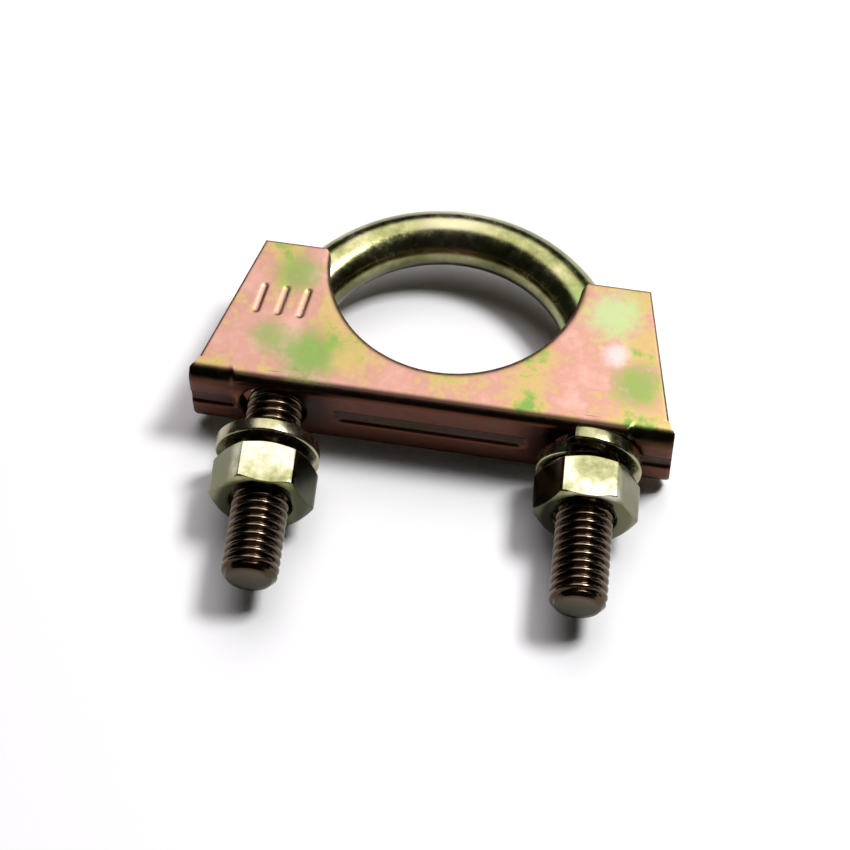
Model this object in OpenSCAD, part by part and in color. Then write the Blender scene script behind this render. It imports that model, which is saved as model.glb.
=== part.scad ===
// U-bolt pipe clamp for a 35 mm pipe: a bent round bar with two threaded legs, a pressed saddle
// that slides on them, and a nut with a split spring washer on each leg.
// It lies on its back: Z runs along the pipe, X across the legs, and the legs point along -Y.
// The origin is the centre of the bar's half-round bow. Lengths are in millimetres.

/* [Pipe] */
// Outside diameter of the pipe that the clamp holds
pipe_d = 35; // [30:0.5:42]
// Radial room between the pipe and the bar's bow
bow_room = 1.0; // [0.25:0.05:1.5]
// Radial room between the pipe and the saddle's notch
notch_room = 0.9; // [0.2:0.05:1.2]

/* [U-bolt] */
// Diameter of the bar and of its thread, M8
bar_d = 8; // [7:0.1:8.6]
// Leg length, from the centre of the bow to the end of the thread
leg_length = 37.4; // [34:0.2:48]
// Height of the chamfer on each leg's end
leg_chamfer = 0.9; // [0.3:0.1:1.5]
// Diameter of the flat that the chamfer leaves
leg_end_d = 6.3; // [5:0.1:6.6]

/* [Saddle] */
// Thickness of the pressed sheet
sheet_t = 2.0; // [1.5:0.1:2.4]
// Gap between each cheek and the bar that runs between the cheeks
cheek_gap = 0.2; // [0.1:0.05:0.6]
// Metal between the bottom of the notch and the outer face of the web
notch_floor = 6.15; // [5:0.05:9]
// Width of each horn at its tip, outwards from the notch
horn_width = 9.8; // [8.2:0.1:11.6]
// How far each shoulder, where the cheeks meet the web, stands outside its leg
shoulder_out = 10.9; // [9.4:0.1:11]
// How far each end of the web stands outside its leg, a little proud of the shoulders
web_out = 11.95; // [11.2:0.05:13]
// Inside radius of the bend between web and cheek
inner_bend_r = 0.4; // [0.2:0.05:0.8]
// Outside radius of the squared-up bend, all along the web but for its two ends
seat_bend_r = 1.3; // [0.8:0.05:1.3]
// How far the squared-up bend reaches past each leg, outwards
seat_out = 5.5; // [5.2:0.1:8]
// How far the flat seat at each leg reaches inwards, to where the groove starts
seat_in = 8.8; // [6:0.1:10]
// Radial room between each leg and its hole in the web
hole_room = 0.8; // [0.7:0.05:1.1]
// Width of the shallow groove along the web
groove_w = 3.2; // [1.5:0.1:3.5]
// Depth of the groove
groove_depth = 0.5; // [0.2:0.05:0.8]

/* [Nuts and washers] */
// Width across the flats of each nut
nut_af = 13; // [12.5:0.1:14]
// Height of each nut
nut_h = 6.5; // [5.5:0.1:7]
// Radial clearance between a nut's bore and the leg
nut_clearance = 0.05; // [0.02:0.01:0.1]
// Outside diameter of each spring washer
washer_od = 14.8; // [13:0.1:15]
// Radial clearance between a washer's bore and the leg
washer_clearance = 0.3; // [0.25:0.05:0.4]
// Thickness of the washer's coil
washer_t = 2.0; // [1.4:0.1:2.2]
// How far the free coil springs apart at its split
washer_spring = 2.2; // [1:0.1:2.3]

/* [Rest position] */
// Turn of the loose saddle on the legs, in degrees
saddle_skew = 4.1; // [1:0.1:5]
// Room between the web and the high end of the right washer's coil
web_gap = 0.07; // [0.05:0.01:0.5]
// How far left of the legs' centre lines the web's holes sit
hole_offset = 0.32; // [0.2:0.02:0.45]
// Length of thread that stands out of the left nut
thread_out_left = 11.9; // [9:0.1:12]
// Length of thread that stands out of the right nut
thread_out_right = 13.8; // [12.5:0.1:13.8]
// Turn of the left nut away from flat side up, in degrees
nut_left_turn = -8.2; // [-30:0.1:30]
// Turn of the right nut away from flat side up, in degrees
nut_right_turn = -3.6; // [-30:0.1:30]
// Where the left washer is split, in degrees from +X towards +Z
split_left = 290; // [0:1:359]
// Where the right washer is split, in degrees from +X towards +Z
split_right = 112; // [0:1:359]
// Lean of the loose left washer on its leg, in degrees
lean_left = 3.5; // [0:0.1:4]
// Lean of the right washer on its leg, in degrees
lean_right = -2.5; // [-3:0.1:0]
// Gap between the left washer and its nut
washer_gap = 0.3; // [0.1:0.05:1]

/* [Hidden] */

$fn = 96;
eps = 0.01;
bar_r = bar_d / 2;
bow_r = pipe_d / 2 + bow_room + bar_r;        // to the bar's centre line
leg_x = bow_r;                                // the legs run straight on from the bow
notch_r = pipe_d / 2 + notch_room;
saddle_half = bar_r + cheek_gap + sheet_t;    // half the saddle's thickness
web_y = -(notch_r + notch_floor);             // outer face of the web, from the notch's centre
bend_r = sheet_t + inner_bend_r;              // outside radius of the bends
hole_d = bar_d + 2 * hole_room;
horn_span = 2 * (notch_r + horn_width);
shoulder_span = 2 * (leg_x + shoulder_out);
web_span = 2 * (leg_x + web_out);
shoulder_y = web_y + bend_r + 0.7;            // the cheeks' slanted sides end just above the bend
nut_chamfer_r = nut_af / 2 * 0.96;            // the round land on each end of a nut
nut_corner_r = nut_af / 2 / cos(30);
coil_steps = 40;                              // flats that stand for one turn of the coil
split_gap = 8;                                // width of the washer's split, in degrees

// Rest places: each nut by the thread beyond it, and the saddle by the right washer's coil.
nut_left_y = leg_length - thread_out_left - nut_h;
nut_right_y = leg_length - thread_out_right - nut_h;
saddle_shift = -(web_y + sheet_t / 2) * sin(saddle_skew) - hole_offset;
// the web's outer face slopes down to the right, and crosses the right leg's centre line here
web_at_right = -nut_right_y + washer_t + washer_spring + web_gap;
saddle_lift = web_at_right - web_y * cos(saddle_skew)
    + (leg_x - saddle_shift - web_y * sin(saddle_skew)) * tan(saddle_skew);

zinc = [0.80, 0.70, 0.38];
zinc_dark = [0.62, 0.56, 0.34];

// Turns a shape drawn along +Z to point along -Y, with its X left as it is.
module along_leg(side, y) {
    translate([side * leg_x, y, 0]) rotate([90, 0, 0]) children();
}

// The bar: half a ring for the bow, and two straight legs with chamfered ends.
module u_bolt() {
    color(zinc) union() {
        rotate_extrude(angle = 180) translate([bow_r, 0]) circle(r = bar_r);
        for (side = [-1, 1]) {
            along_leg(side, 0) cylinder(r = bar_r, h = leg_length - leg_chamfer);
            along_leg(side, leg_chamfer - leg_length)
                cylinder(r1 = bar_r, r2 = leg_end_d / 2, h = leg_chamfer);
        }
    }
}

// A filled channel seen end on, in Y and Z: its web is at y, and its bends have the radius r.
module channel_fill(y, half, r, top) {
    translate([y + r, -half]) square([top - y - r, 2 * half]);
    translate([y, -half + r]) square([r + eps, 2 * (half - r)]);
    for (s = [-1, 1]) translate([y + r, s * (half - r)]) circle(r = r);
}

// A length of folded sheet along X, with the given outside bend radius.
module folded_sheet(length, r_out) {
    rotate([90, 0, 90]) translate([0, 0, -length / 2]) linear_extrude(length) difference() {
        channel_fill(web_y, saddle_half, r_out, 0);
        channel_fill(web_y + sheet_t, saddle_half - sheet_t, inner_bend_r, 1);
    }
}

// The saddle about the centre of its notch: two cheeks with horns, joined by a web.
module saddle_square() {
    difference() {
        intersection() {
            union() {
                folded_sheet(web_span, bend_r);
                folded_sheet(2 * (leg_x + seat_out), seat_bend_r);
            }
            translate([0, 0, -saddle_half - 1]) linear_extrude(2 * saddle_half + 2) polygon([
                [-horn_span / 2, 0], [-shoulder_span / 2, shoulder_y],
                [-web_span / 2, shoulder_y - (web_span - shoulder_span) / 2],
                [-web_span / 2, web_y - 1], [web_span / 2, web_y - 1],
                [web_span / 2, shoulder_y - (web_span - shoulder_span) / 2],
                [shoulder_span / 2, shoulder_y], [horn_span / 2, 0]
            ]);
        }
        translate([0, 0, -saddle_half - 2]) cylinder(r = notch_r, h = 2 * saddle_half + 4);
        for (side = [-1, 1])
            translate([side * leg_x, web_y + sheet_t + 1, 0]) rotate([90, 0, 0])
                cylinder(d = hole_d, h = sheet_t + 2);
        // the groove stops at the seats, so it is cut in three lengths
        groove(-web_span / 2 - 1, -leg_x - seat_out);
        groove(-leg_x + seat_in, leg_x - seat_in);
        groove(leg_x + seat_out, web_span / 2 + 1);
    }
}

// One length of the web's groove, with sloping sides.
module groove(x0, x1) {
    translate([x0, web_y, 0]) rotate([90, 0, 90]) linear_extrude(x1 - x0) polygon([
        [-1, -groove_w / 2 - 1], [0, -groove_w / 2], [groove_depth, -groove_w / 4],
        [groove_depth, groove_w / 4], [0, groove_w / 2], [-1, groove_w / 2 + 1]
    ]);
}

module saddle() {
    color(zinc) translate([saddle_shift, saddle_lift, 0]) rotate([0, 0, -saddle_skew])
        saddle_square();
}

// A hexagon nut whose inner face is at y, chamfered at both ends and bored with clearance.
module nut(side, y, turn) {
    along_leg(side, y) rotate([0, 0, turn]) difference() {
        intersection() {
            cylinder(r = nut_corner_r, h = nut_h, $fn = 6);
            rotate_extrude() polygon([
                [0, 0], [nut_chamfer_r, 0], [nut_corner_r + 0.5, 0.85],
                [nut_corner_r + 0.5, nut_h - 0.85], [nut_chamfer_r, nut_h], [0, nut_h]
            ]);
        }
        translate([0, 0, -1]) cylinder(r = bar_r + nut_clearance, h = nut_h + 2);
        // a countersink at each end of the bore
        translate([0, 0, -eps]) cylinder(r1 = bar_r + 0.5, r2 = bar_r, h = 0.5);
        translate([0, 0, nut_h - 0.5 + eps]) cylinder(r1 = bar_r, r2 = bar_r + 0.5, h = 0.5);
    }
}

module nut_left() color(zinc) nut(-1, -nut_left_y, nut_left_turn);
module nut_right() color(zinc) nut(1, -nut_right_y, nut_right_turn);

// One turn of the washer's coil as a slab with flat steps, wider than the washer both ways.
// It rises by spring over a whole turn, from just after the split round to just before it.
module coil_slab(r_in, r_out, t, spring) {
    sweep = 360 - split_gap;
    points = [for (i = [0 : coil_steps]) let (
        a = split_gap / 2 + sweep * i / coil_steps, z = spring * i / coil_steps
    ) each [
        [r_in * cos(a), r_in * sin(a), z], [r_out * cos(a), r_out * sin(a), z],
        [r_out * cos(a), r_out * sin(a), z + t], [r_in * cos(a), r_in * sin(a), z + t]
    ]];
    last = 4 * coil_steps;
    faces = [
        [0, 1, 2], [0, 2, 3], [last, last + 2, last + 1], [last, last + 3, last + 2],
        each [for (i = [0 : coil_steps - 1], k = [0 : 3]) let (
            a = 4 * i + k, b = 4 * i + (k + 1) % 4, c = b + 4, d = a + 4
        ) each [[a, d, c], [a, c, b]]]
    ];
    polyhedron(points, faces);
}

// A split spring washer behind the nut's face at y, with its split at the given angle.
// The coil is drawn along +Z, then stood up so that it rises along +Y, away from the nut.
module washer(side, y, split, lean) {
    translate([side * leg_x, y, 0]) rotate([0, 0, lean]) rotate([-90, 0, 0]) mirror([0, 1, 0])
        rotate([0, 0, split]) intersection() {
            difference() {
                translate([0, 0, -1]) cylinder(d = washer_od, h = washer_t + washer_spring + 2);
                translate([0, 0, -2])
                    cylinder(r = bar_r + washer_clearance, h = washer_t + washer_spring + 4);
            }
            coil_slab(bar_r - 1, washer_od / 2 + 1, washer_t, washer_spring);
        }
}

module washer_left() color(zinc_dark)
    washer(-1, washer_gap - nut_left_y, split_left, lean_left);
module washer_right() color(zinc_dark) washer(1, -nut_right_y, split_right, lean_right);

u_bolt();
saddle();
nut_left();
nut_right();
washer_left();
washer_right();
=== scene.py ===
# %% [markdown]
# # A U-bolt pipe clamp
#
# The clamp has six pieces: a bent bar with a thread rolled on both legs, a saddle pressed from
# one sheet, and a hexagon nut with a split spring washer on each leg. The imported model gives
# their sizes, places and joints. Here each piece gets its true surface and its finish, a yellow
# passivated zinc plating with pink, gold and green tints. Painted shade, painted reflections and
# painted highlights are laid into some of its colours.

import bpy
import numpy as np
from mathutils import Matrix, Vector


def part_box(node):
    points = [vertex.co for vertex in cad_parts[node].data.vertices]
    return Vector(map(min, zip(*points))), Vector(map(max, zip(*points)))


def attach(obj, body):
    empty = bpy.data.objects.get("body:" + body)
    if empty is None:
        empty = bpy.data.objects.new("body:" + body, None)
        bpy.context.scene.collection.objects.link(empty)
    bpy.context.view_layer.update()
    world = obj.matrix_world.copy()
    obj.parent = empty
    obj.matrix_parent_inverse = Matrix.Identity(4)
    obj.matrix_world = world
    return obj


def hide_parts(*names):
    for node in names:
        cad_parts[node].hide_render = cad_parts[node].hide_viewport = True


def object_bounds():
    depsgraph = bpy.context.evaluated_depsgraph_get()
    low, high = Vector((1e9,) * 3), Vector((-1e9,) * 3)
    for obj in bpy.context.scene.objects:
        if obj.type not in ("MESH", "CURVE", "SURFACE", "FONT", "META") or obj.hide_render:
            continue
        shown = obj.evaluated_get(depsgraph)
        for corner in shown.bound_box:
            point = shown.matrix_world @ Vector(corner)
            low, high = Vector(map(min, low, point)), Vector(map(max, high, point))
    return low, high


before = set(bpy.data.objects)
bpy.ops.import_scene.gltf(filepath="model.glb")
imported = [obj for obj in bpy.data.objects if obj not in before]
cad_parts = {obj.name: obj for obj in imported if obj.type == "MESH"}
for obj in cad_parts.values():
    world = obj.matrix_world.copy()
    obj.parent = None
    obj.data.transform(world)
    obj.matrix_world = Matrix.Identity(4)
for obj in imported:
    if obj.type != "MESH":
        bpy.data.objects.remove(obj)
cad_box = [list(corner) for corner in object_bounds()]
print("clamp's box, mm:", [[round(1000 * x, 2) for x in corner] for corner in cad_box])

# %% [markdown]
# The driving sizes are read from the frame: the bar's radius is half its height, and the legs
# stand where its box ends, less that radius. The rest are the sizes of an M8 thread, nut and
# washer, and the press tool's radii. Lengths are in millimetres until a mesh is made.

# %% Sizes shared by the pieces
MM = 0.001


def box_mm(node):
    """A part's lowest and highest corners in millimetres."""
    low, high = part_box(node)
    return np.array(low) / MM, np.array(high) / MM


bar_low, bar_high = box_mm("u_bolt")
BAR_R = (bar_high[2] - bar_low[2]) / 2
LEG_X = bar_high[0] - BAR_R
LEG_END = bar_low[1]
PITCH = 1.25
print("bar radius", round(BAR_R, 3), "leg at", round(LEG_X, 3), "leg end", round(LEG_END, 3))


def smooth_step(a, b, x):
    """0 below a, 1 above b, and an even S-shaped rise between them."""
    t = np.clip((x - a) / (b - a), 0, 1)
    return t * t * (3 - 2 * t)


def grid_faces(rows, columns, wrap=False, first=0):
    """Quads between neighbouring rows and columns; wrap joins the last column to the first."""
    across = np.arange(columns if wrap else columns - 1)
    i, j = np.meshgrid(np.arange(rows - 1), across, indexing="ij")
    k = (j + 1) % columns
    quads = [i * columns + j, i * columns + k, (i + 1) * columns + k, (i + 1) * columns + j]
    return np.stack(quads, -1).reshape(-1, 4) + first


def fan_faces(ring, pole):
    """Triangles that close a ring of corners onto one pole."""
    return np.stack([ring, np.roll(ring, -1), np.full(len(ring), pole)], -1)


def make_piece(name, points, face_sets, body, node):
    """A mesh from an array of points in mm and arrays of faces, riding on its body."""
    mesh = bpy.data.meshes.new(name)
    faces = [f for faces in face_sets for f in faces.tolist()]
    mesh.from_pydata((np.asarray(points) * MM).tolist(), [], faces)
    mesh.polygons.foreach_set("use_smooth", np.ones(len(faces), bool))
    mesh.update()
    piece = bpy.data.objects.new(name, mesh)
    bpy.context.scene.collection.objects.link(piece)
    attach(piece, body)
    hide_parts(node)
    print(name, len(mesh.vertices), "points,", sum(len(f) - 2 for f in faces), "triangles")
    return piece


def soften(piece, angle_deg):
    """Smooth shading, with a crease wherever two faces meet more sharply than the angle."""
    piece.data.set_sharp_from_angle(angle=np.radians(angle_deg))


# %% [markdown]
# ## The bar
# The bar is 8 mm wire, bent round a former, with an M8 thread rolled up both legs. It could be
# a bent curve with a thread cut by a boolean, which is slow and leaves torn faces. Here one
# circle is carried along the whole path, and its radius is a function of the way along the bar
# and the angle round it, so a thread is only a ripple in that radius.

# %% The bar's path and the thread's depth
THREAD_TOP = -8.0       # the thread runs up each leg to here
THREAD_DEPTH = 0.68
RUN_OUT = 2.2           # the last turns fade over this length
ROOT_FLAT, FLANK = 0.14, 0.70   # shares of half a pitch; the rest is the crest
ROUNDING = 0.9          # how much the flanks bulge
END_CHAMFER = 0.9
END_R = 3.15
END_RING = 0.8          # size of the ring inside each end face


def bar_path(s):
    """Centre line and outward direction at length s: up the left leg, round the bow, down."""
    leg, bow = -LEG_END, np.pi * LEG_X
    turn = np.pi - np.clip((s - leg) / bow, 0, 1) * np.pi
    out = np.stack([np.cos(turn), np.sin(turn), 0 * s], -1)
    down = np.where(s > leg + bow, -(s - leg - bow), np.minimum(0, s - leg))
    return out * LEG_X + np.stack([0 * s, down, 0 * s], -1), out


def thread_depth(s, angle, from_end):
    """Depth below the crest: a 60 degree trapezoid wave, one wave to each pitch and turn."""
    wave = np.abs((s / PITCH - angle / (2 * np.pi)) % 1 - 0.5) * 2
    valley = 1 - np.clip((wave - ROOT_FLAT) / FLANK, 0, 1)
    valley = valley * valley * (1 + ROUNDING - ROUNDING * valley)
    top = THREAD_TOP - LEG_END
    return THREAD_DEPTH * valley * (1 - smooth_step(top - RUN_OUT, top, from_end))


# %% Carry the circle along the bar
def build_bar(around=80):
    """The radius is the thread's, or the end chamfer's cone where that is smaller."""
    leg, bow = -LEG_END, np.pi * LEG_X
    chamfer = np.linspace(0, END_CHAMFER, 8)
    threads = np.arange(END_CHAMFER + 0.1, THREAD_TOP - LEG_END, 0.1)
    plain = np.linspace(threads[-1] + 0.4, leg, 14)
    half = np.concatenate([chamfer, threads, plain])
    middle = leg + np.linspace(0, bow, 150)[1:-1]
    s = np.concatenate([half, middle, 2 * leg + bow - half[::-1]])
    angle = np.arange(around) / around * 2 * np.pi
    S, A = np.meshgrid(s, angle, indexing="ij")
    from_end = np.minimum(S, 2 * leg + bow - S)
    cone = END_R + (BAR_R - END_R) * from_end / END_CHAMFER
    radius = np.minimum(BAR_R - thread_depth(S, A, from_end), cone)
    centre, out = bar_path(s)
    points = centre[:, None] + radius[..., None] * (
        np.cos(A)[..., None] * out[:, None] + np.sin(A)[..., None] * np.array([0, 0, 1.0]))
    rows = len(s)
    faces = grid_faces(rows, around, wrap=True)[:, ::-1]
    ends, caps = [], []
    for row in (0, rows - 1):
        # the flat end face: one smaller ring, then a pole
        ring = np.arange(around) + row * around
        inner = centre[row] + (points[row] - centre[row]) * END_RING
        first = rows * around + len(ends) * (around + 1)
        ends.append(np.vstack([inner, centre[row]]))
        inner_ring = np.arange(around) + first
        band = np.stack([ring, np.roll(ring, -1), np.roll(inner_ring, -1), inner_ring], -1)
        fan = fan_faces(inner_ring, first + around)
        caps += [band, fan] if row == 0 else [band[:, ::-1], fan[:, ::-1]]
    points = np.vstack([points.reshape(-1, 3), *ends])
    piece = make_piece("bar", points, [faces, *caps], "bar", "u_bolt")
    soften(piece, 50)
    return piece


bar = build_bar()

# %% [markdown]
# ## The saddle
# A press blanks this piece from flat sheet, punches two holes, folds it into a channel and
# squares up the bend, but for the web's two ends, so that the washers can sit. It could be a
# box with booleans; folding a flat blank follows the maker, and gives both faces of the sheet.
# Each point of the blank has a place across the saddle, x, and a fold coordinate, w: 0 to 1 is
# the flat half of the web, 1 to 2 the bend, and past 2 the height up a cheek in millimetres.

# %% The saddle's sizes
cheek_low, cheek_high = box_mm("saddle")
SKEW = np.radians(4.1)                      # the loose saddle's turn on the legs
NOTCH_AT = np.array([1.36, 13.3])           # the notch's centre in the clamp's frame
HALF = (cheek_high[2] - cheek_low[2]) / 2   # half the saddle's thickness
SHEET = 2.0
NOTCH_R, NOTCH_FLOOR = 18.4, 6.15
WEB_Y = -(NOTCH_R + NOTCH_FLOOR)            # outer face of the web, from the notch's centre
HORN_X, SHOULDER_X, END_X = 28.2, 33.4, 34.45
BEND_R, SEAT_BEND_R = 2.4, 1.3              # as bent at the web's ends, and squared up
SEAT_OUT, SEAT_IN = 5.3, 8.6                # the seat's reach from the leg, each way
PATCH_HALF = 6.3                            # half the window the hole's rings fill
HOLE_R = 4.8
KEEP = 0.8                                  # share of the web where both layers stay level
SEAM_UP = 3.0                               # the layers' feet meet this far up the cheek
TIGHTEST = 0.05                             # smallest inside radius of a bend
SQUARE_FADE = 0.9                           # the step where the squaring up ends
GROOVE_HALF, GROOVE_DEPTH = 1.6, 0.5
GROOVE_FLAT = 0.5                           # share of its half width that is at full depth
GROOVE_RISE_OUT, GROOVE_RISE_IN = 0.7, 1.2  # its slopes up to each seat
CHEEK_0 = WEB_Y + BEND_R                    # where w = 2: the foot of the flat cheek
SHOULDER_RISE = 0.7
SHOULDER_Y = CHEEK_0 + SHOULDER_RISE
WEB_ZONE = -CHEEK_0 - NOTCH_AT @ [np.sin(SKEW), np.cos(SKEW)]   # the bend's start, from the bow
print("saddle half thickness", round(HALF, 3))


def squared(x):
    """1 where the press squares up the bend, 0 past the step near each end of the web."""
    return 1 - smooth_step(SEAT_OUT, SEAT_OUT + SQUARE_FADE, np.abs(x) - LEG_X)


def grooved(x):
    """0 on the two flat seats, 1 where the groove has its full depth."""
    past = np.abs(x) - LEG_X
    return np.where(past > 0, smooth_step(SEAT_OUT, SEAT_OUT + GROOVE_RISE_OUT, past),
                    smooth_step(SEAT_IN, SEAT_IN + GROOVE_RISE_IN, -past))


def fold(x, w, depth):
    """Where a blank point lies once folded, at a depth below the sheet's outer face."""
    bend = BEND_R + (SEAT_BEND_R - BEND_R) * squared(x)
    r = np.maximum(bend - depth, TIGHTEST)
    flat, outer_flat = HALF - depth - r, HALF - bend
    side, a = np.sign(w), np.abs(w)
    angle = np.clip(a - 1, 0, 1) * np.pi / 2
    # both layers stay level as far as KEEP; only the rest of the way is squeezed
    late = np.clip((a - KEEP) / (1 - KEEP), 0, 1)
    level = outer_flat * np.minimum(a, KEEP) + (flat - outer_flat * KEEP) * late
    z = np.where(a < 1, level, flat + r * np.sin(angle))
    foot = WEB_Y + depth + r
    up = np.maximum(a - 2, 0)
    blend = np.clip(up / SEAM_UP, 0, 1)
    y = np.where(a < 2, WEB_Y + depth + r * (1 - np.cos(angle)),
                 foot * (1 - blend) + (CHEEK_0 + SEAM_UP) * blend + np.maximum(up - SEAM_UP, 0))
    return np.stack([x, y, side * z], -1)


# %% [markdown]
# The blank is made of three nets of quads that share their border points. A cheek is a band
# that runs from horn to horn between the notch and the outer edge. The web is a plain net, with
# a window at each leg. Each window is filled by rings that pass evenly from its square border
# to the round hole.

# %% The blank's columns
def spaced(a, b, count, bias=1.0):
    """count + 1 values from a to b, closer together towards both ends when bias is over 1."""
    t = np.linspace(-1, 1, count + 1)
    t = np.sign(t) * (1 - (1 - np.abs(t)) ** bias)
    return a + (b - a) * (t + 1) / 2


window = [(side * LEG_X - PATCH_HALF, side * LEG_X + PATCH_HALF) for side in (-1, 1)]
columns = np.concatenate([
    np.linspace(-SHOULDER_X, window[0][0], 17)[:-1], np.linspace(*window[0], 31)[:-1],
    np.linspace(window[0][1], window[1][0], 57)[:-1], np.linspace(*window[1], 31)[:-1],
    np.linspace(window[1][1], SHOULDER_X, 17)])
TOP_ROWS, TOP_COLUMNS = 60, 96      # the marked cheek's net, from the notch and up each side
UNDER_ROWS, UNDER_COLUMNS = 26, 40  # the plain cheek's net
foot_w = 2 + (SHOULDER_Y - CHEEK_0)
web_rows = np.concatenate([
    np.linspace(-foot_w, -2, 4)[:-1], np.linspace(-2, -1, 11)[:-1],
    np.linspace(-1, 1, 53)[:-1], np.linspace(1, 2, 11)[:-1], np.linspace(2, foot_w, 4)])
print(len(columns), "columns across the web,", len(web_rows), "rows round it")


# %% One cheek's band, from the notch's edge to the outer edge
FLARE, FLARE_LENGTH = 1.0, 1.6      # how the notch opens at the horns' tips
FOOT_TURN = np.radians(47)          # where the band's side ends and its foot begins


def notch_edge(turn):
    """The notch: an arc, opening a little at the horns' tips where the blank was cut."""
    y = -NOTCH_R * np.sin(turn)
    flare = FLARE * np.clip(1 + y / FLARE_LENGTH, 0, 1) ** 2
    return np.stack([np.cos(turn) * (NOTCH_R + flare) * -1, y], -1)


def cheek_net(rows, side_columns):
    """Points (x, y) on rows from the notch outwards; the turn runs from horn to horn."""
    side_turn = spaced(0, FOOT_TURN, side_columns, 1.1)[:-1]
    along_foot = (columns + SHOULDER_X) / (2 * SHOULDER_X)
    foot_turn = FOOT_TURN + along_foot * (np.pi - 2 * FOOT_TURN)
    t = side_turn / FOOT_TURN
    left = np.stack([-HORN_X - (SHOULDER_X - HORN_X) * t, SHOULDER_Y * t], -1)
    right = left[::-1] * [-1, 1]
    foot = np.stack([columns, np.full(len(columns), SHOULDER_Y)], -1)
    outer = np.vstack([left, foot, right])
    inner = notch_edge(np.concatenate([side_turn, foot_turn, np.pi - side_turn[::-1]]))
    share = spaced(0, 1, rows, 1.25)[:, None, None]
    return inner * (1 - share) + outer * share


# %% The web's net and the rings round each hole
WIDEN_W = [1.70, 1.83, 1.93, 2.35, foot_w]      # fold coordinates, and how much of the
WIDEN_SHARE = [1, 0.67, 0.30, 0.12, 0]          # full widening the web's end has at each
RING_BIAS = 0.8                                 # under 1, the rings crowd towards the hole


def web_net():
    """Points (x, w): the columns widen at both ends, past the cheeks' shoulders."""
    X, W = np.meshgrid(columns, web_rows)
    widen = np.interp(np.abs(W), WIDEN_W, WIDEN_SHARE)
    past = np.clip((np.abs(X) - (LEG_X + PATCH_HALF)) / (SHOULDER_X - LEG_X - PATCH_HALF), 0, 1)
    return X + np.sign(X) * widen * past * (END_X - SHOULDER_X), W


def hole_rings(X, W, side, rings=15):
    """Rings that pass from a window's border to the hole, at the border's own angles."""
    centre = side * LEG_X
    j = np.flatnonzero(np.abs(columns - centre) < PATCH_HALF + 1e-6)
    j0, j1, last = j[0], j[-1], len(web_rows) - 1
    rows = np.concatenate([np.zeros(j1 - j0, int), np.arange(last),
                           np.full(j1 - j0, last), np.arange(last, 0, -1)])
    cols = np.concatenate([np.arange(j0, j1), np.full(last, j1),
                           np.arange(j1, j0, -1), np.full(last, j0)])
    border = np.stack([X[rows, cols] - centre, W[rows, cols]], -1)
    angle = np.arctan2(border[:, 1] / foot_w, border[:, 0] / PATCH_HALF)
    flat = HALF - SEAT_BEND_R
    hole = np.stack([HOLE_R * np.cos(angle), HOLE_R / flat * np.sin(angle)], -1)
    share = (np.linspace(0, 1, rings + 1) ** RING_BIAS)[:, None, None]
    ring = border * (1 - share) + hole * share
    return ring[..., 0] + centre, ring[..., 1]


# %% [markdown]
# The depth of the outer layer carries the press's marks: the notch's edge is drawn down as
# the punch shears it, the other edges are barely broken, a groove runs along the web and fades
# at the two flat seats, and three plain strokes are stamped in the left of the upper cheek.

# %% Marks of the press
ROLL_WIDTH, ROLL_DEPTH = 1.3, 0.55
EDGE_WIDTH, EDGE_DEPTH = 0.5, 0.22
HOLE_WIDTH, HOLE_DEPTH = 0.35, 0.15
ALMOST_ALL = 0.9999                 # stops the ellipse just before it turns upright
STROKE_AT = np.array([-23.7, -10.2])
STROKE_STEP, STROKE_LONG, STROKE_WIDE = 3.2, 5.0, 0.7
STROKE_DEPTH, STROKE_WALL, STROKE_LEAN = 0.2, 0.3, 0.1


def edge_drop(distance, width, depth):
    """How far a sheet sinks towards a cut edge: a quarter-ellipse over the given width."""
    t = np.clip(1 - distance / width, 0, 1)
    return depth * (1 - np.sqrt(1 - t * t * ALMOST_ALL))


def strokes(x, y):
    """Depth of three short parallel strokes with round ends and sloping walls."""
    lean_x = x - STROKE_AT[0] - STROKE_LEAN * (y - STROKE_AT[1])
    nearest = np.clip(np.round(lean_x / STROKE_STEP), -1, 1) * STROKE_STEP
    past_end = np.maximum(np.abs(y - STROKE_AT[1]) - (STROKE_LONG - STROKE_WIDE) / 2, 0)
    away = np.hypot(lean_x - nearest, past_end)
    return STROKE_DEPTH * (1 - smooth_step(-STROKE_WALL, STROKE_WALL, away - STROKE_WIDE / 2))


def cheek_marks(points, marked):
    """Depth of the outer layer over a cheek's net of (x, y) points."""
    x, y = points[..., 0], points[..., 1]
    lean = np.arctan2(SHOULDER_X - HORN_X, -SHOULDER_Y)
    to_notch = np.hypot(x, y) - NOTCH_R
    to_side = (HORN_X - np.abs(x)) * np.cos(lean) - y * np.sin(lean)
    depth = edge_drop(to_notch, ROLL_WIDTH, ROLL_DEPTH)
    depth = np.maximum(depth, edge_drop(to_side, EDGE_WIDTH, EDGE_DEPTH))
    depth = np.maximum(depth, edge_drop(-y, EDGE_WIDTH, EDGE_DEPTH))
    return depth + (strokes(x, y) if marked else 0)


def web_marks(x, w):
    """Depth of the outer layer over the web: the groove, the holes' rims and the cut ends."""
    flat = HALF - BEND_R - (SEAT_BEND_R - BEND_R) * squared(x)
    floor_half = GROOVE_HALF * GROOVE_FLAT
    groove = GROOVE_DEPTH * (1 - smooth_step(floor_half, GROOVE_HALF, np.abs(w) * flat))
    away = np.hypot(np.abs(x) - LEG_X, np.minimum(np.abs(w), 1) * (HALF - SEAT_BEND_R))
    hole = edge_drop(away - HOLE_R, HOLE_WIDTH, HOLE_DEPTH)
    ends = edge_drop(END_X - np.abs(x), EDGE_WIDTH, EDGE_DEPTH)
    return np.maximum(groove * grooved(x) * (np.abs(w) < 1), np.maximum(ends, hole))


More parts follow.
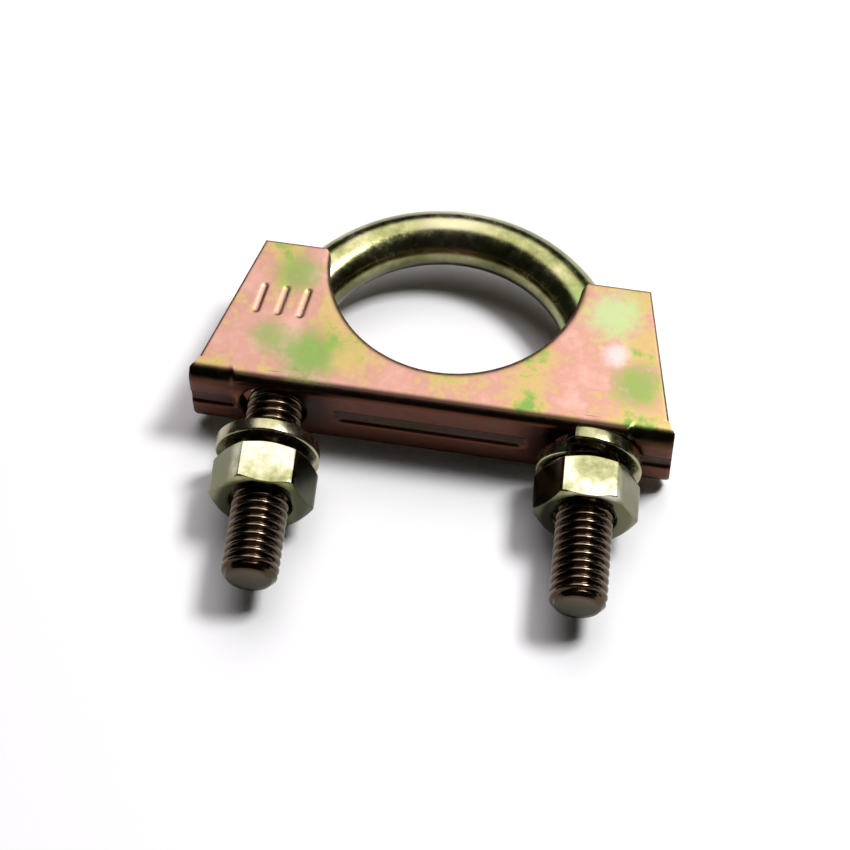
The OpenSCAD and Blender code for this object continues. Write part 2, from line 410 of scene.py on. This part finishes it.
# %% Fold both layers and join them round every edge
def build_saddle():
    """Each net is folded twice, at the outer and the inner depth, then walled at its edges."""
    X, W = web_net()
    nets, faces, first = [], [], 0
    for side, rows, side_columns in ((1, TOP_ROWS, TOP_COLUMNS), (-1, UNDER_ROWS, UNDER_COLUMNS)):
        cheek = cheek_net(rows, side_columns)
        w = side * (2 + cheek[..., 1] - CHEEK_0)
        nets.append((cheek[..., 0], w, cheek_marks(cheek, side > 0)))
        quads = grid_faces(*cheek.shape[:2], first=first)
        faces.append(quads if side > 0 else quads[:, ::-1])
        first += cheek[..., 0].size
    nets.append((X, W, web_marks(X, W)))
    quads = grid_faces(*X.shape, first=first)
    centre_x = X.ravel()[quads - first].mean(1)
    faces.append(quads[np.abs(np.abs(centre_x) - LEG_X) > PATCH_HALF])
    first += X.size
    for side in (-1, 1):
        x, w = hole_rings(X, W, side)
        nets.append((x, w, web_marks(x, w)))
        faces.append(grid_faces(*x.shape, wrap=True, first=first))
        first += x.size
    x, w, depth = (np.concatenate([n[k].ravel() for n in nets]) for k in range(3))
    quads = np.vstack(faces)
    outer, inner = fold(x, w, depth), fold(x, w, SHEET + 0 * depth)

    # one point stands for all that share a place in the outer layer
    key = np.round(outer, 4)
    _, pick, same = np.unique(key, axis=0, return_index=True, return_inverse=True)
    quads, outer, inner = same.ravel()[quads], outer[pick], inner[pick]
    count = len(outer)

    # an edge that only one face uses is a cut edge of the sheet: it gets a wall
    a, b = quads.ravel(), np.roll(quads, -1, 1).ravel()
    code = np.minimum(a, b) * count + np.maximum(a, b)
    _, where, uses = np.unique(code, return_index=True, return_counts=True)
    cut = where[uses == 1]
    a, b = a[cut], b[cut]
    wall = np.stack([b, a, a + count, b + count], -1)
    print("saddle: ", len(quads), "quads a layer,", len(wall), "edge quads")
    points = np.vstack([outer, inner])
    c, s = np.cos(-SKEW), np.sin(-SKEW)
    turned = points @ np.array([[c, s, 0], [-s, c, 0], [0, 0, 1]])
    turned[:, :2] += NOTCH_AT
    piece = make_piece("saddle_sheet", turned, [quads, quads[:, ::-1] + count, wall],
                       "saddle", "saddle")
    soften(piece, 38)
    return piece


saddle_sheet = build_saddle()

# %% [markdown]
# ## The nuts
# A hexagon nut is a bar of hexagon section whose ends are turned to a cone, so each flat ends
# in a curved edge. A cylinder with six sides and a bevel would miss that curve. Here a closed
# profile goes round the bore: its outer radius is the hexagon's at that angle, and the two
# cones cut it down.

# %% The nut's surface
NUT_AF = 13.0
NUT_LAND_R = NUT_AF / 2 * 0.96   # the round land on each end face
NUT_CONE = 0.4816                # the chamfer's rise for each millimetre outwards
NUT_BORE_R = BAR_R + 0.04
CORNER_WORN = 0.1                # how much is worn off each of the six corners
SINK_DEPTH, SINK_WIDE = 0.55, 0.6   # the countersink at each end of the bore


def hexagon(angle):
    """Radius of a hexagon with slightly rounded corners; its first corner is at angle 0."""
    from_corner = (angle + np.pi / 6) % (np.pi / 3) - np.pi / 6
    radius = NUT_AF / 2 / np.cos(np.pi / 6 - np.abs(from_corner))
    corner = NUT_AF / 2 / np.cos(np.pi / 6)
    return np.minimum(radius, corner - CORNER_WORN)


def build_nut(name, node, body, side, turn_deg, per_side=20):
    """Rows of the profile by angles round the leg, both closed; then set on its leg."""
    low, high = box_mm(node)
    height = high[1] - low[1]
    angle = np.arange(6 * per_side) / (6 * per_side) * 2 * np.pi
    H = hexagon(angle)[None]
    edge = height - NUT_CONE * (H - NUT_LAND_R)
    # up the bore, over the countersink and the flat end, then down the cone to the flank
    top = [(NUT_BORE_R, height - 1.2), (NUT_BORE_R, height - SINK_DEPTH),
           (NUT_BORE_R + 0.75 * SINK_WIDE, height - 0.06), (NUT_BORE_R + SINK_WIDE, height),
           (5.2, height), (5.8, height), (NUT_LAND_R - 0.12, height),
           (NUT_LAND_R, height - 0.02)]
    top += [(NUT_LAND_R + (H - NUT_LAND_R) * t, height - (height - edge) * t)
            for t in (0.1, 0.4, 0.7, 0.93)]
    top += [(H - 0.01, edge - 0.05), (H, edge - 0.12)]
    flank = [(H, edge + (height - 2 * edge) * t) for t in (0.1, 0.3, 0.5, 0.7, 0.9)]
    bottom = [(r, height - z) for r, z in top[::-1]]
    profile = top + flank + bottom
    R = np.vstack([np.broadcast_to(r, H.shape) for r, z in profile])
    Z = np.vstack([np.broadcast_to(z, H.shape) for r, z in profile])
    turned = angle[None] + np.radians(turn_deg)
    points = np.stack([side * LEG_X + R * np.cos(turned), high[1] - Z, R * np.sin(turned)], -1)
    rows = len(profile)
    faces = grid_faces(rows, len(angle), wrap=True)
    bore = np.stack([np.arange(len(angle)) + (rows - 1) * len(angle),
                     (np.arange(len(angle)) + 1) % len(angle) + (rows - 1) * len(angle),
                     (np.arange(len(angle)) + 1) % len(angle), np.arange(len(angle))], -1)
    piece = make_piece(name, points.reshape(-1, 3), [faces, bore], body, node)
    soften(piece, 28)
    return piece


hex_nut_left = build_nut("hex_nut_left", "nut_left", "left_nut", -1, turn_deg=-8.2)
hex_nut_right = build_nut("hex_nut_right", "nut_right", "right_nut", 1, turn_deg=-3.6)

# %% [markdown]
# ## The spring washers
# A spring washer is one turn of hard square wire, cut so that its ends spring apart. A flat
# ring would lose that step. A rounded rectangle is carried round a helix, and its two cut
# ends are closed with flat caps.

# %% The washer's coil
WASHER_R = 7.4
WASHER_BORE = BAR_R + 0.3
WASHER_T = 2.0
WASHER_SPRING = 2.2
SPLIT_HALF = np.radians(4)
WASHER_ROUND = 0.28
LEFT_GAP = 0.3              # between the left nut and its washer


def wire_section(per_corner=5):
    """Points (radius, height) round the wire: a rectangle with quarter-circle corners."""
    r, t = WASHER_ROUND, np.linspace(0, np.pi / 2, per_corner)
    corners = [(WASHER_R - r, r, -np.pi / 2), (WASHER_R - r, WASHER_T - r, 0),
               (WASHER_BORE + r, WASHER_T - r, np.pi / 2), (WASHER_BORE + r, r, np.pi)]
    return np.vstack([np.stack([x + r * np.cos(a + t), z + r * np.sin(a + t)], -1)
                      for x, z, a in corners])


def build_washer(name, node, body, side, inner_y, split_deg, lean_deg, steps=150):
    """Rising along +Y by the spring over one turn, from the split round to the split."""
    section = wire_section()
    turn = np.linspace(0, 1, steps + 1)
    angle = SPLIT_HALF + (2 * np.pi - 2 * SPLIT_HALF) * turn
    R, A = np.meshgrid(section[:, 0], angle)
    Z = section[None, :, 1] + WASHER_SPRING * turn[:, None]
    A = A + np.radians(split_deg)
    # the coil's height lies along Y, so that it already stands on its leg
    points = np.stack([R * np.cos(A), Z, R * np.sin(A)], -1).reshape(-1, 3)
    n = len(section)
    first = len(points)
    caps = np.vstack([points[:n].mean(0), points[-n:].mean(0)])
    faces = grid_faces(steps + 1, n, wrap=True)
    start = fan_faces(np.arange(n)[::-1], first)
    end = fan_faces(np.arange(n) + steps * n, first + 1)
    points = np.vstack([points, caps])
    lean = np.radians(lean_deg)
    c, s = np.cos(lean), np.sin(lean)
    points = points @ np.array([[c, s, 0], [-s, c, 0], [0, 0, 1]])
    points += [side * LEG_X, inner_y, 0]
    piece = make_piece(name, points, [faces, start, end], body, node)
    soften(piece, 40)
    return piece


nut_top = {side: box_mm(node)[1][1] for side, node in ((-1, "nut_left"), (1, "nut_right"))}
spring_washer_left = build_washer("spring_washer_left", "washer_left", "left_washer", -1,
                                  nut_top[-1] + LEFT_GAP, split_deg=290, lean_deg=3.5)
spring_washer_right = build_washer("spring_washer_right", "washer_right", "right_washer", 1,
                                   nut_top[1], split_deg=112, lean_deg=-2.5)

# %% [markdown]
# ## The plating
# Yellow passivated zinc is a thin clear film on bright metal. Its thickness changes from place
# to place, and so does its tint: gold, copper pink, or leaf green. A picture could paint the
# tints, but a procedural material stays sharp and fits any shape. Slow noise picks the tint and
# finer noise breaks it up. Zones paint shade as a darker tint over one side of a piece; one on
# the web paints a dark red reflection. Blooms are soft round clouds: most are tints, a few are
# painted shade, a painted reflection and painted highlights. The thread's crests are bright
# from wear and a painted highlight. A third noise gives the metal its grain.

# %% Helpers for finishes
SLOW_TO_FINE = 6                        # the fine noise is this much finer
FINE_SHARE = 0.4                        # how much the fine noise breaks up the slow one
BLOOM_RAGGED = 0.9                      # how uneven a bloom's edge is, as a share of its size
BLOOM_INNER, BLOOM_OUTER = 0.7, 1.6     # where a bloom is full and where it ends
GRAIN_SCALE, GRAIN_STRENGTH, GRAIN_HEIGHT = 2600.0, 0.15, 0.00008
WORN_SHEEN_SHARE, WORN_SHEEN_FADE = 0.8, 2.0        # how bright the crests get, and over what length


def new_finish(name):
    """An empty material with its shader, and a function that adds and joins nodes."""
    material = bpy.data.materials.new(name)
    material.use_nodes = True
    tree = material.node_tree
    shader = tree.nodes["Principled BSDF"]

    def add(kind, settings=None, **inputs):
        """A node; inputs named i0, i1 and so on are counted, others go by their names."""
        made = tree.nodes.new(kind)
        for key, value in (settings or {}).items():
            setattr(made, key, value)
        for key, value in inputs.items():
            socket = made.inputs[int(key[1:])] if key[0] == "i" else made.inputs[key]
            if isinstance(value, bpy.types.NodeSocket):
                tree.links.new(value, socket)
            else:
                socket.default_value = value
        return made

    return material, tree, shader, add


def colour_ramp(add, factor, stops):
    """A ramp from (position, colour) pairs."""
    ramp = add("ShaderNodeValToRGB", i0=factor)
    elements = ramp.color_ramp.elements
    while len(elements) < len(stops):
        elements.new(0.5)
    for element, (place, colour) in zip(elements, stops):
        element.position, element.color = place, (*colour, 1)
    return ramp.outputs["Color"]


def s_rise(add, value, start, stop, low, high):
    """A smooth change from low at start to high at stop."""
    return add("ShaderNodeMapRange", {"interpolation_type": "SMOOTHSTEP"}, i0=value, i1=start,
               i2=stop, i3=low, i4=high).outputs[0]


def tinted(add, colour, share, tint):
    """The colour, mixed with a tint where the share is high."""
    return add("ShaderNodeMix", {"data_type": "RGBA"}, i0=share, i6=colour,
               i7=(*tint, 1)).outputs[2]


def worn_sheen_crests(add, place, colour, root_r, top):
    """Crests outside root_r from a leg's axis are bright from wear and a painted highlight, below
    the height top.
    """
    part = add("ShaderNodeSeparateXYZ", i0=place)
    off = add("ShaderNodeMath", {"operation": "ABSOLUTE"}, i0=part.outputs[0])
    off = add("ShaderNodeMath", {"operation": "SUBTRACT"}, i0=off.outputs[0], i1=LEG_X * MM)
    off = add("ShaderNodeCombineXYZ", i0=off.outputs[0], i2=part.outputs[2])
    radius = add("ShaderNodeVectorMath", {"operation": "LENGTH"}, i0=off.outputs[0])
    crest = s_rise(add, radius.outputs["Value"], root_r * MM, BAR_R * MM, 0.0, 1.0)
    below = add("ShaderNodeMapRange", i0=part.outputs[1], i1=top * MM,
                i2=(top - WORN_SHEEN_FADE) * MM, i3=0.0, i4=WORN_SHEEN_SHARE)
    share = add("ShaderNodeMath", {"operation": "MULTIPLY"}, i0=crest, i1=below.outputs[0])
    return tinted(add, colour, share.outputs[0], WORN_SHEEN)


# %% The plating, with its painted light, as one material
def zinc_and_painted_light(name, tints, seed, patch, roughness, painted_shade_zones=(), tint_and_painted_light_blooms=(), worn_sheen=None):
    """Noise-tinted metal; painted shade; clouds of tint and painted light; crests bright as wear
    and highlight.
    """
    material, tree, shader, add = new_finish(name)
    place = add("ShaderNodeTexCoord").outputs["Object"]
    moved = add("ShaderNodeMapping", Vector=place, Location=(seed, 2 * seed, 0)).outputs[0]
    slow = add("ShaderNodeTexNoise", Vector=moved, Scale=patch, Detail=3.0, Roughness=0.55)
    fine = add("ShaderNodeTexNoise", Vector=moved, Scale=patch * SLOW_TO_FINE, Detail=4.0,
               Roughness=0.65).outputs["Fac"]
    mixed = add("ShaderNodeMath", {"operation": "MULTIPLY_ADD"}, i0=fine, i1=FINE_SHARE,
                i2=slow.outputs["Fac"])
    shade = add("ShaderNodeMath", {"operation": "SUBTRACT"}, i0=mixed.outputs[0],
                i1=FINE_SHARE / 2)
    colour = colour_ramp(add, shade.outputs[0], tints)
    # each zone paints shade: a dark tint over one side of the piece
    for towards, start, stop, tint, strength in painted_shade_zones:
        along = add("ShaderNodeVectorMath", {"operation": "DOT_PRODUCT"}, i0=place, i1=towards)
        share = s_rise(add, along.outputs["Value"], start * MM, stop * MM, 0.0, strength)
        colour = tinted(add, colour, share, tint)
    # clouds of tint; a few of them paint shade, a reflection and highlights instead
    for centre, size, tint, strength in tint_and_painted_light_blooms:
        away = add("ShaderNodeVectorMath", {"operation": "DISTANCE"}, i0=place,
                   i1=[MM * c for c in centre])
        ragged = add("ShaderNodeMath", {"operation": "MULTIPLY_ADD"}, i0=fine,
                     i1=size * MM * BLOOM_RAGGED, i2=away.outputs["Value"])
        share = s_rise(add, ragged.outputs[0], size * MM * BLOOM_INNER, size * MM * BLOOM_OUTER,
                       strength, 0.0)
        colour = tinted(add, colour, share, tint)
    # crests bright from wear, and partly a painted highlight
    if worn_sheen:
        colour = worn_sheen_crests(add, place, colour, *worn_sheen)
    tree.links.new(colour, shader.inputs["Base Color"])
    shader.inputs["Metallic"].default_value = 1.0
    rough = add("ShaderNodeMapRange", i0=fine, i1=0.3, i2=0.7, i3=roughness[0], i4=roughness[1])
    tree.links.new(rough.outputs[0], shader.inputs["Roughness"])
    grain = add("ShaderNodeTexNoise", Vector=place, Scale=GRAIN_SCALE, Detail=3.0, Roughness=0.6)
    bump = add("ShaderNodeBump", Height=grain.outputs["Fac"], Strength=GRAIN_STRENGTH,
               Distance=GRAIN_HEIGHT)
    tree.links.new(bump.outputs[0], shader.inputs["Normal"])
    return material


# %% [markdown]
# A zone of painted shade is a direction, where it starts and stops along it in millimetres, a
# dark tint and its strength. A bloom is a centre and a size in millimetres, a tint and its
# strength; a few of them paint shade, a reflection and highlights.

# %% The finishes, with their painted shade, reflections and highlights
PINK, ROSE, TAN = (0.35, 0.19, 0.145), (0.43, 0.255, 0.21), (0.35, 0.225, 0.125)
GOLD, LEAF, MINT = (0.34, 0.26, 0.10), (0.125, 0.225, 0.048), (0.28, 0.36, 0.17)
# painted light: a dark painted shade for the web, a painted red reflection and a painted copper
# reflection
PAINTED_SHADE, PAINTED_RED_REFLECTION, PAINTED_COPPER_REFLECTION = (0.020, 0.009, 0.007), (0.10, 0.028, 0.014), (0.30, 0.10, 0.035)
# a bronze tint partly painted as shade, an olive tint, and a painted green shade
BRONZE_AND_SHADE, OLIVE, PAINTED_GREEN_SHADE = (0.046, 0.023, 0.015), (0.11, 0.11, 0.05), (0.030, 0.032, 0.016)
# a lilac tint, a painted straw highlight, and the crests' bright wear, partly a painted highlight
LILAC, PAINTED_STRAW_HIGHLIGHT, WORN_SHEEN = (0.45, 0.38, 0.37), (0.58, 0.54, 0.36), (0.17, 0.13, 0.10)

down_web = (-np.sin(SKEW), -np.cos(SKEW), 0)
saddle_finish_and_painted_light = zinc_and_painted_light(
    "saddle_plating_and_painted_light",
    [(0.28, LEAF), (0.39, GOLD), (0.46, TAN), (0.52, PINK), (0.68, ROSE)],
    seed=0.013, patch=110.0, roughness=(0.26, 0.40),
    tint_and_painted_light_blooms=[((-21.3, 9.8, 6.2), 4.4, LEAF, 0.75), ((-24.0, -1.5, 6.2), 3.6, LEAF, 0.7),
            ((-18.0, -4.0, 6.2), 5.6, LEAF, 0.9), ((-12.8, -4.3, 6.2), 2.6, GOLD, 0.8),
            ((24.5, 6.5, 6.2), 5.0, MINT, 0.9), ((28.5, -5.0, 6.2), 4.6, LEAF, 0.8),
            ((30.5, 3.0, 6.2), 2.6, GOLD, 0.8), ((25.2, -0.2, 6.2), 2.4, LILAC, 0.8),
            # painted shade round each of the web's two holes
            ((-18.6, -9.8, 0.6), 6.0, PAINTED_SHADE, 0.9), ((18.0, -12.5, 0.6), 5.0, PAINTED_SHADE, 0.9),
            # a painted copper reflection on the web's left seat
            ((-27.4, -9.3, 1.6), 2.2, PAINTED_COPPER_REFLECTION, 0.9)],
    # painted shade from the web's bend onwards, and a painted dark red reflection over its face
    painted_shade_zones=[(down_web, WEB_ZONE + 0.4, WEB_ZONE + 1.2, PAINTED_SHADE, 0.92),
           (down_web, WEB_ZONE + 2.15, WEB_ZONE + 2.35, PAINTED_RED_REFLECTION, 0.75)])
bar_finish_and_painted_light = zinc_and_painted_light(
    "bar_plating_and_painted_light", [(0.30, OLIVE), (0.46, (0.24, 0.25, 0.10)), (0.62, (0.44, 0.41, 0.24))],
    seed=0.031, patch=110.0, roughness=(0.14, 0.30),
    # painted shade: the legs a darker bronze, partly a real bronze tint, and the tube darker
    # below
    painted_shade_zones=[((0, -1, 0), 6.0, 10.0, BRONZE_AND_SHADE, 0.92), ((0, 0, -1), -2.2, 0.8, PAINTED_GREEN_SHADE, 0.75)],
    tint_and_painted_light_blooms=[((20.8, 9.0, 3.5), 6.0, (0.16, 0.25, 0.07), 0.8),
            # painted highlights on the top of the bow
            ((-20.0, 10.5, 3.5), 5.0, PAINTED_STRAW_HIGHLIGHT, 0.7), ((0.0, 23.0, 4.0), 7.0, PAINTED_STRAW_HIGHLIGHT, 0.5)],
    # thread crests bright from wear and a painted highlight
    worn_sheen=(3.75, THREAD_TOP))
nut_finish_and_painted_light = {node: zinc_and_painted_light(
    node + "_plating", [(0.30, (0.15, 0.16, 0.07)), (0.45, (0.30, 0.30, 0.15)),
                        (0.62, (0.50, 0.48, 0.38))],
    seed=0.047, patch=130.0, roughness=(0.12, 0.24),
    # painted shade: the end face towards -Y, the underside and the flats facing the other nut
    painted_shade_zones=[((0, -1, 0), -box_mm(node)[0][1] - 0.25, -box_mm(node)[0][1] - 0.05, PAINTED_GREEN_SHADE, 0.85),
           ((0, 0, -1), -5.9, -4.6, OLIVE, 0.85),
           ((inward, 0, 0), 4.0 - LEG_X, 5.4 - LEG_X, PAINTED_GREEN_SHADE, 0.75)])
    for node, inward in (("nut_left", 1), ("nut_right", -1))}
washer_finish = zinc_and_painted_light(
    "washer_plating", [(0.30, OLIVE), (0.48, (0.26, 0.26, 0.13)), (0.65, (0.42, 0.38, 0.27))],
    seed=0.061, patch=130.0, roughness=(0.16, 0.30))

for piece, finish in ((bar, bar_finish_and_painted_light), (saddle_sheet, saddle_finish_and_painted_light),
                      (hex_nut_left, nut_finish_and_painted_light["nut_left"]),
                      (hex_nut_right, nut_finish_and_painted_light["nut_right"]),
                      (spring_washer_left, washer_finish),
                      (spring_washer_right, washer_finish)):
    piece.data.materials.append(finish)
print("finishes:", [m.name for m in bpy.data.materials])

# %% [markdown]
# ## The table and the light
# The clamp lies on a plain white sheet. One soft lamp stands high on the right, and a round
# bright patch of the world stands high behind. Bright metal shows little but what it reflects,
# so the rest of the world is nearly black: flat tops shine and each bend is a dark line.

# %% Floor
FLOOR_Z = cad_box[0][2]
floor_mesh = bpy.data.meshes.new("floor")
REACH = 3.0
floor_mesh.from_pydata([(x, y, FLOOR_Z) for x, y in
                        ((-REACH, -REACH), (REACH, -REACH), (REACH, REACH), (-REACH, REACH))],
                       [], [(0, 1, 2, 3)])
floor = bpy.data.objects.new("floor", floor_mesh)
bpy.context.scene.collection.objects.link(floor)
floor_finish, _, floor_shader, _ = new_finish("floor_white")
floor_shader.inputs["Base Color"].default_value = (0.92, 0.92, 0.93, 1)
floor_shader.inputs["Roughness"].default_value = 0.9
floor_shader.inputs["Specular IOR Level"].default_value = 0.1
floor.data.materials.append(floor_finish)


# %% Lamps and world
def soft_lamp(name, place, aim, size, power):
    """A square area lamp at place, turned towards aim."""
    light = bpy.data.lights.new(name, "AREA")
    light.size, light.energy = size, power
    lamp = bpy.data.objects.new(name, light)
    lamp.location = place
    direction = Vector(aim) - Vector(place)
    lamp.rotation_mode = "QUATERNION"
    lamp.rotation_quaternion = direction.to_track_quat("-Z", "Y")
    bpy.context.scene.collection.objects.link(lamp)
    return lamp


soft_lamp("side_lamp", (0.27, 0.13, 0.56), aim=(0, 0, 0), size=0.16, power=3.4)

PATCH_EDGE, PATCH_FULL = 0.82, 0.96      # cosines of the patch's outer and inner half angles
SKY_TINT = (1, 0.955, 0.97, 1)


def studio_world(dark, bright, towards, backdrop):
    """Light that grows from dark to bright towards one direction; the backdrop stays pale."""
    made = bpy.data.worlds.new("studio")
    made.use_nodes = True
    tree = made.node_tree
    background = tree.nodes["Background"]
    background.inputs["Color"].default_value = SKY_TINT
    facing = tree.nodes.new("ShaderNodeVectorMath")
    facing.operation = "DOT_PRODUCT"
    facing.inputs[1].default_value = Vector(towards).normalized()
    tree.links.new(tree.nodes.new("ShaderNodeTexCoord").outputs["Generated"], facing.inputs[0])
    share = tree.nodes.new("ShaderNodeMapRange")
    share.interpolation_type = "SMOOTHSTEP"
    share.inputs[1].default_value, share.inputs[2].default_value = PATCH_EDGE, PATCH_FULL
    share.inputs[3].default_value, share.inputs[4].default_value = dark, bright
    tree.links.new(facing.outputs["Value"], share.inputs[0])
    path = tree.nodes.new("ShaderNodeLightPath")
    pale = tree.nodes.new("ShaderNodeMix")
    pale.inputs[3].default_value = backdrop
    tree.links.new(path.outputs["Is Camera Ray"], pale.inputs[0])
    tree.links.new(share.outputs[0], pale.inputs[2])
    tree.links.new(pale.outputs[0], background.inputs["Strength"])
    return made


bpy.context.scene.world = studio_world(dark=0.02, bright=2.6, towards=(0.03, 0.51, 0.86),
                                       backdrop=1.0)
bpy.context.scene.view_settings.view_transform = "Standard"
bpy.context.scene.view_settings.look = "None"

# %% [markdown]
# ## The camera
# A long lens from in front and above, close to the clamp's own axis, and turned a little.

# %% Camera
AZIMUTH, ELEVATION, ROLL = np.radians([6.9, 58.1, -1.3])
DISTANCE, LENS, SENSOR = 0.3544, 105.92, 36.0
AIM = np.array([-0.0010, -0.0104, 0.0])
back = np.array([np.sin(AZIMUTH) * np.cos(ELEVATION), -np.cos(AZIMUTH) * np.cos(ELEVATION),
                 np.sin(ELEVATION)])
right = np.array([np.cos(AZIMUTH), np.sin(AZIMUTH), 0])
up = np.cross(back, right)
rolled_right = np.cos(ROLL) * right + np.sin(ROLL) * up
rolled_up = -np.sin(ROLL) * right + np.cos(ROLL) * up
camera_data = bpy.data.cameras.new("camera")
camera_data.lens, camera_data.sensor_width = LENS, SENSOR
camera_data.clip_start, camera_data.clip_end = 0.01, 20
camera = bpy.data.objects.new("camera", camera_data)
turned = Matrix(np.stack([rolled_right, rolled_up, back], -1).tolist()).to_4x4()
camera.matrix_world = Matrix.Translation(AIM + back * DISTANCE) @ turned
bpy.context.scene.collection.objects.link(camera)
bpy.context.scene.camera = camera
